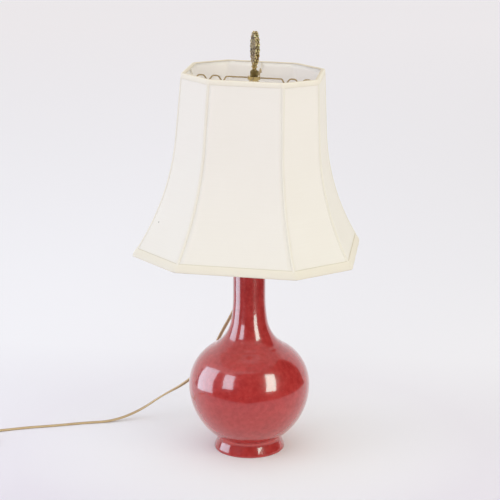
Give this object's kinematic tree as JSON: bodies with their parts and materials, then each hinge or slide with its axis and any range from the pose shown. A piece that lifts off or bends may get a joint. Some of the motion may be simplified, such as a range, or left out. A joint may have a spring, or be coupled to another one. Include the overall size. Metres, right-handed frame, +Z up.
{
  "type": "table lamp",
  "caption": "Table lamp made from a red bottle vase, with a leaning cut-corner bell shade in ivory fabric, a wire harp, a pierced finial and a corded plug.",
  "frame": {"origin": "on the table under the middle of the vase's foot", "axes": "+Z up, -Y to the front where the switch knob points, +Y to the cord's outlet"},
  "size_m": [0.6568, 0.3258, 0.6446],
  "materials": {
    "red_glaze": "deep red high-gloss glaze with fine crackle",
    "stopper_rubber": "matte black rubber",
    "brass": "aged satin brass",
    "liner_card": "brown insulating card",
    "core_plastic": "black moulded insulation",
    "lead_insulation": "insulated leads",
    "knob_plastic": "dark moulded knob",
    "bulb_metal": "bright rolled metal",
    "bulb_glass": "frosted white glass",
    "shade_fabric": "ivory fine weave, stretched",
    "lining_fabric": "off-white lining",
    "trim_fabric": "ivory folded trim",
    "frame_wire": "brass-coated wire",
    "finial_metal": "antiqued cast brass",
    "cord_plastic": "translucent gold flexible plastic",
    "tie_plastic": "black tie",
    "blade_metal": "bright brass"
  },
  "bodies": {
    "base": {"vase": "red_glaze", "neck_stopper": "stopper_rubber", "vase_cap": "brass", "nipple": "brass", "lock_nut": "brass", "harp_saddle": "brass", "harp": "brass", "harp_stud": "brass", "socket_cap": "brass", "socket_shell": "brass", "socket_liner": "liner_card", "socket_core": "core_plastic", "socket_leads": "lead_insulation", "cord_bushing": "cord_plastic", "cord": "cord_plastic", "cord_coil": "cord_plastic", "cord_tie": "tie_plastic", "plug_body": "cord_plastic", "plug_blades": "blade_metal"},
    "shade": {"shade_panel_right": "shade_fabric", "shade_panel_back_right": "shade_fabric", "shade_panel_back": "shade_fabric", "shade_panel_back_left": "shade_fabric", "shade_panel_left": "shade_fabric", "shade_panel_front_left": "shade_fabric", "shade_panel_front": "shade_fabric", "shade_panel_front_right": "shade_fabric", "shade_lining": "lining_fabric", "shade_top_band": "trim_fabric", "shade_bottom_band": "trim_fabric", "shade_piping": "trim_fabric", "shade_top_ring": "frame_wire", "shade_bottom_ring": "frame_wire", "shade_ribs": "frame_wire", "spider_washer": "brass", "spider_arms": "frame_wire"},
    "finial": {"finial_base": "finial_metal", "finial_ornament": "finial_metal"},
    "switch": {"switch_spindle": "brass", "switch_knob": "knob_plastic"},
    "bulb": {"bulb_base": "bulb_metal", "bulb_glass": "bulb_glass"},
    "ferrule_left": {"harp_ferrule_left": "brass"},
    "ferrule_right": {"harp_ferrule_right": "brass"}
  },
  "joints": [
    {"name": "shade_turn", "type": "hinge", "parent": "base", "child": "shade", "pos_m": [0, 0, 0.3433], "axis": [0.0302, 0, 0.9995], "continuous": true},
    {"name": "finial_turn", "type": "hinge", "parent": "base", "child": "finial", "pos_m": [0, 0, 0.3433], "axis": [0.0302, 0, 0.9995], "continuous": true},
    {"name": "switch_turn", "type": "hinge", "parent": "base", "child": "switch", "pos_m": [0, 0, 0.3712], "axis": [0, -1, 0], "continuous": true},
    {"name": "bulb_turn", "type": "hinge", "parent": "base", "child": "bulb", "pos_m": [0, 0, 0.4], "axis": [0, 0, 1], "continuous": true},
    {"name": "ferrule_left_slide", "type": "slide", "parent": "base", "child": "ferrule_left", "axis": [0.0302, 0, 0.9995], "range_m": [0, 0.014]},
    {"name": "ferrule_right_slide", "type": "slide", "parent": "base", "child": "ferrule_right", "axis": [0.0302, 0, 0.9995], "range_m": [0, 0.014]}
  ]
}
